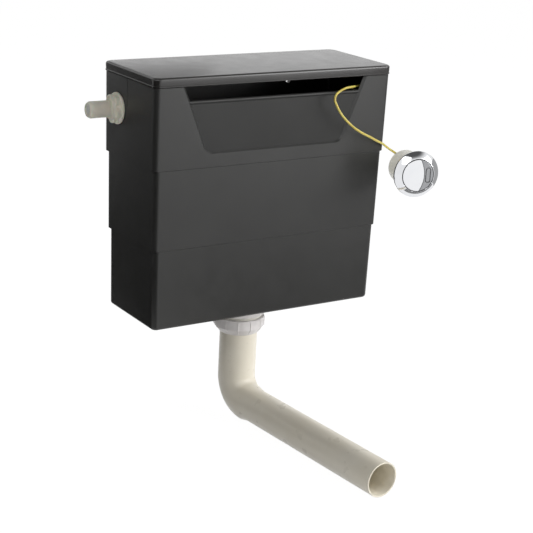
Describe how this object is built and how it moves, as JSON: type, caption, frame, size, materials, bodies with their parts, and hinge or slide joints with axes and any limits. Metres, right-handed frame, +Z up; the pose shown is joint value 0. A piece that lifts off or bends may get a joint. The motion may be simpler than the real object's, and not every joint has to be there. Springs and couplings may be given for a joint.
{
  "type": "concealed toilet cistern",
  "caption": "Slim concealed toilet cistern with an angled flush pipe, a side water inlet and a cable-operated two-part push button.",
  "frame": {"origin": "midway between the two wall fixings, on the plane of the wall's face", "axes": "+Z up, +Y into the wall, -Y towards the room, +X to the right as seen from the room"},
  "size_m": [0.421, 0.3743, 0.477],
  "materials": {
    "charcoal_polypropylene": "moulded polypropylene, fine satin grain",
    "lid_polypropylene": "moulded polypropylene, smoother and shinier than the tank",
    "natural_nylon": "milky natural nylon",
    "white_acetal": "moulded white acetal",
    "blue_acetal": "moulded blue acetal",
    "red_polypropylene": "moulded red polypropylene",
    "black_rubber": "soft nitrile rubber",
    "float_polystyrene": "smooth moulded float",
    "coupling_white": "moulded white polypropylene",
    "pipe_abs": "extruded cream-white plastic pipe",
    "barrel_abs": "moulded cream plastic",
    "chromed_abs": "bright chrome plate on plastic",
    "satin_chrome": "bright chrome plate on plastic",
    "yellow_sheath": "smooth extruded yellow sheath",
    "stainless_steel": "drawn stainless steel",
    "strainer_white": "moulded white strainer"
  },
  "bodies": {
    "cistern": {"tank": "charcoal_polypropylene", "inlet_backnut": "natural_nylon", "inlet_washer": "black_rubber", "fill_valve_body": "natural_nylon", "inlet_filter": "strainer_white", "fill_diaphragm": "black_rubber", "fill_valve_cap": "blue_acetal", "arm_pin": "stainless_steel", "silencer_tube": "white_acetal", "valve_base": "white_acetal", "base_washer": "black_rubber", "tank_backnut": "coupling_white", "valve_tower": "white_acetal", "return_spring": "stainless_steel", "cable_head": "blue_acetal", "lever_pin": "stainless_steel", "head_ferrule": "white_acetal", "coupling_nut": "coupling_white", "pipe_seal": "black_rubber", "cable": "yellow_sheath", "button_ferrule": "white_acetal", "button_barrel": "barrel_abs", "barrel_cap": "barrel_abs", "bezel": "chromed_abs", "rocker_pin": "stainless_steel"},
    "lid": {"lid": "lid_polypropylene"},
    "float_arm": {"float_arm": "white_acetal", "level_screw": "blue_acetal", "float_cup": "float_polystyrene"},
    "plunger": {"overflow_tube": "red_polypropylene", "valve_seal": "black_rubber", "full_float": "float_polystyrene"},
    "half_float": {"half_float": "blue_acetal"},
    "lever": {"lift_lever": "white_acetal"},
    "head_wire": {"head_wire": "stainless_steel"},
    "pipe": {"flush_pipe": "pipe_abs"},
    "full_button": {"full_button": "chromed_abs"},
    "half_button": {"half_button": "satin_chrome"},
    "rocker": {"rocker": "white_acetal"},
    "button_wire": {"button_wire": "stainless_steel"}
  },
  "joints": [
    {"name": "lid_lift", "type": "slide", "parent": "cistern", "child": "lid", "axis": [0, 0, 1], "range_m": [0, 0.06]},
    {"name": "float_arm_rise", "type": "hinge", "parent": "cistern", "child": "float_arm", "pos_m": [-0.11329, -0.0393, -0.024], "axis": [0, -1, 0], "range_deg": [0, 18]},
    {"name": "valve_lift", "type": "slide", "parent": "cistern", "child": "plunger", "axis": [0, 0, 1], "range_m": [0, 0.022], "stiffness_N_per_m": 120, "springref_m": -0.01, "deforming": ["return_spring"]},
    {"name": "half_float_set", "type": "slide", "parent": "plunger", "child": "half_float", "axis": [0, 0, 1], "range_m": [-0.008, 0.008]},
    {"name": "lever_swing", "type": "hinge", "parent": "cistern", "child": "lever", "pos_m": [0.034, -0.0685, -0.0453], "axis": [0, 1, 0], "range_deg": [0, 36.64]},
    {"name": "head_wire_pull", "type": "slide", "parent": "cistern", "child": "head_wire", "axis": [1, 0, 0], "range_m": [0, 0.00955]},
    {"name": "pipe_swivel", "type": "hinge", "parent": "cistern", "child": "pipe", "pos_m": [0, -0.0685, -0.414], "axis": [0, 0, 1], "range_deg": [-90, 90]},
    {"name": "full_button_press", "type": "slide", "parent": "cistern", "child": "full_button", "axis": [0.2924, 0.9563, 0], "range_m": [0, 0.008]},
    {"name": "half_button_press", "type": "slide", "parent": "cistern", "child": "half_button", "axis": [0.2924, 0.9563, 0], "range_m": [0, 0.004], "stiffness_N_per_m": 400, "springref_m": -0.002},
    {"name": "rocker_swing", "type": "hinge", "parent": "cistern", "child": "rocker", "pos_m": [0.18348, -0.17227, -0.092], "axis": [0.9563, -0.2924, 0], "range_deg": [0, 38.94]},
    {"name": "button_wire_pull", "type": "slide", "parent": "cistern", "child": "button_wire", "axis": [-0.2924, -0.9563, 0], "range_m": [0, 0.00955]}
  ],
  "couplings": [
    {"joint": "full_button_press", "follows": "valve_lift", "ratio": 0.3636},
    {"joint": "lever_swing", "follows": "valve_lift", "rad_per_m": 29.064},
    {"joint": "head_wire_pull", "follows": "valve_lift", "ratio": 0.43391},
    {"joint": "rocker_swing", "follows": "valve_lift", "rad_per_m": 30.894},
    {"joint": "button_wire_pull", "follows": "valve_lift", "ratio": 0.43391}
  ]
}
